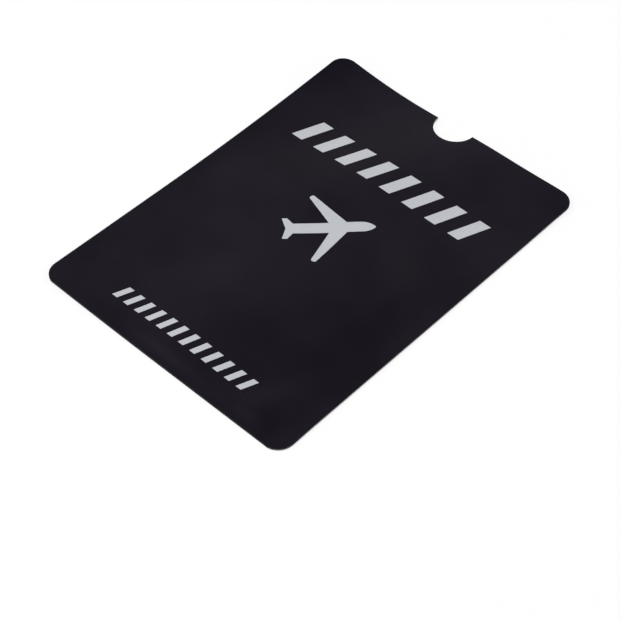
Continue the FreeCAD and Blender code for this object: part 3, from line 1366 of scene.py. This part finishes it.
@dataclass
class SilverPrint:
    """The print on the front: a plane between two rows of bars."""

    rows: tuple[BarRow, ...] = (BarRow("upper_bar_row", 8, 4.2 * MM), BarRow("lower_bar_row", 12, 2.0 * MM))
    step: float = 1.0 * MM

    def build(self) -> Mesh:
        """Make the flat mesh of the plane."""
        return Blank("plane_print", self.step).whole()

    def dress(self, plane: Mesh, trees: LayerTrees, finishes: Finishes) -> None:
        """Print the plane and the rows on the front body.

        Args:
            plane: The plane's flat mesh.
            trees: The geometry node trees.
            finishes: The finishes.
        """
        layer = Layer("plane_print", Slot.SILVER_PRINT, lift_share=1.0)
        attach(layer.grow("printed_plane", plane, trees, finishes), "front")
        for row in self.rows:
            low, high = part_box(row.node)
            height = high.y - low.y
            bar_reach = row.bar_width + row.slope * height
            pitch = (high.x - low.x - bar_reach) / (row.count - 1)
            start = (low.x + bar_reach / 2, (low.y + high.y) / 2, 0.0)
            layer = Layer(row.node, Slot.SILVER_PRINT, Making.BAR_ROW, 1.0)
            piece = layer.grow(f"printed_{row.node}", bpy.data.meshes.new(row.node), trees, finishes,
                               count=row.count, pitch=pitch, start=start, bar_width=row.bar_width,
                               bar_height=height, slope=row.slope, grid_step=self.step)
            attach(piece, "front")


@dataclass(frozen=True)
class Softbox:
    """A square lamp that faces the sleeve."""

    name: str
    place: tuple[float, float, float]
    size: float
    power: float

    def build(self) -> None:
        """Hang the lamp."""
        data = bpy.data.lights.new(self.name, "AREA")
        data.shape = "SQUARE"
        data.size = self.size
        data.energy = self.power
        lamp = put_in_scene(self.name, data)
        lamp.location = self.place
        lamp.rotation_euler = (-Vector(self.place)).to_track_quat("-Z", "Y").to_euler()


@dataclass
class Studio:
    """A white table, soft light and the camera."""

    azimuth: float = math.radians(43.002)
    elevation: float = math.radians(48.653)
    distance: float = 482.55 * MM
    target: tuple[float, float, float] = (18.358 * MM, -21.62 * MM, 0.0)
    focal_pixels: float = 1681.3
    image_pixels: int = 620
    sensor_millimetres: float = 36.0
    table_half: float = 3.0
    table_gap: float = 0.02 * MM
    table_colour: Colour = (0.86, 0.86, 0.86)
    table_white: float = 1.06
    table_glow: float = 0.8
    shadow_reach: Span = (0.15, 0.5)
    horizon: float = 1.0
    zenith: float = 0.1
    wall_top: Span = (0.1, 0.9)
    lamps: tuple[Softbox, ...] = (
        Softbox("key_softbox", (-0.9, -0.65, 0.8), 0.7, 12.0),
        Softbox("fill_softbox", (0.8, 0.5, 0.8), 0.9, 5.0),
    )

    WHITE = (1.0, 1.0, 1.0, 1.0)

    def camera(self) -> None:
        """Stand the camera where the view is taken from."""
        data = bpy.data.cameras.new("camera")
        data.sensor_width = self.sensor_millimetres
        data.lens = self.sensor_millimetres * self.focal_pixels / self.image_pixels
        camera = put_in_scene("camera", data)
        level = math.cos(self.elevation)
        back = Vector((math.sin(self.azimuth) * level, -math.cos(self.azimuth) * level,
                       math.sin(self.elevation)))
        camera.location = Vector(self.target) + back * self.distance
        camera.rotation_euler = (-back).to_track_quat("-Z", "Y").to_euler()
        bpy.context.scene.camera = camera

    def seen_rays(self, graph: Graph) -> Field:
        """Find the rays that show a background: straight, mirrored or through glass.

        Args:
            graph: The material's nodes.

        Returns:
            1 for such a ray.
        """
        path = graph.add("ShaderNodeLightPath").outputs
        straight = graph.field(path["Is Camera Ray"])
        mirrored = straight.math("MAXIMUM", graph.field(path["Is Glossy Ray"]))
        return mirrored.math("MAXIMUM", graph.field(path["Is Transmission Ray"]))

    def table(self) -> None:
        """Lay the white table top, which keeps the sleeve's shadow and can be looked through from below."""
        half = self.table_half
        mesh = bpy.data.meshes.new("table")
        corners = [(-half, -half), (half, -half), (half, half), (-half, half)]
        mesh.from_pydata([(x, y, -self.table_gap) for x, y in corners], [], [(0, 1, 2, 3)])
        table = put_in_scene("table", mesh)
        material, graph = new_material("white_table")
        lit = graph.out("ShaderNodeBsdfDiffuse", {"Color": (*self.table_colour, 1.0)})
        white = graph.out("ShaderNodeEmission", {"Color": self.WHITE, "Strength": self.table_white})
        clear = graph.out("ShaderNodeBsdfTransparent")
        away = graph.length(graph.place())
        glow = away.ramp(*self.shadow_reach) * (1.0 - self.table_glow) + self.table_glow
        shown = graph.out("ShaderNodeMixShader", {0: self.seen_rays(graph) * glow, 1: lit, 2: white})
        below = graph.add("ShaderNodeNewGeometry").outputs["Backfacing"]
        surface = graph.out("ShaderNodeMixShader", {0: below, 1: shown, 2: clear})
        graph.add("ShaderNodeOutputMaterial", {"Surface": surface})
        mesh.materials.append(material)

    def room(self) -> None:
        """Light the room: white walls under a grey ceiling, all white to the camera."""
        world = bpy.data.worlds.new("room")
        world.use_nodes = True
        world.node_tree.nodes.clear()
        graph = Graph(world.node_tree)
        _, _, up = graph.axes(graph.add("ShaderNodeTexCoord").outputs["Generated"])
        level = -(up.ramp(*self.wall_top) * (self.horizon - self.zenith)) + self.horizon
        path = graph.add("ShaderNodeLightPath").outputs
        level = level.math("MAXIMUM", graph.field(path["Is Camera Ray"]))
        light = graph.out("ShaderNodeBackground", {"Color": self.WHITE, "Strength": level})
        graph.add("ShaderNodeOutputWorld", {"Surface": light})
        bpy.context.scene.world = world

    def build(self) -> None:
        """Set up the studio."""
        bpy.context.scene.view_settings.view_transform = "Standard"
        self.camera()
        self.table()
        self.room()
        for lamp in self.lamps:
            lamp.build()


def main() -> None:
    """Build the sleeve and the studio."""
    logging.basicConfig(level=logging.INFO, format="%(message)s")
    sleeve = Outline(cad_box[1].x, cad_box[1].y)
    finishes = make_finishes(sleeve)
    trees = LayerTrees(Drape(sleeve.half_width, sleeve.half_length, sleeve.glued_width).build())
    for assembly in (BackWall(), ClosedEnd(sleeve), GlueLines(), FrontWall(sleeve), SilverPrint()):
        assembly.dress(assembly.build(), trees, finishes)
    Studio().build()


if __name__ == "__main__":
    main()
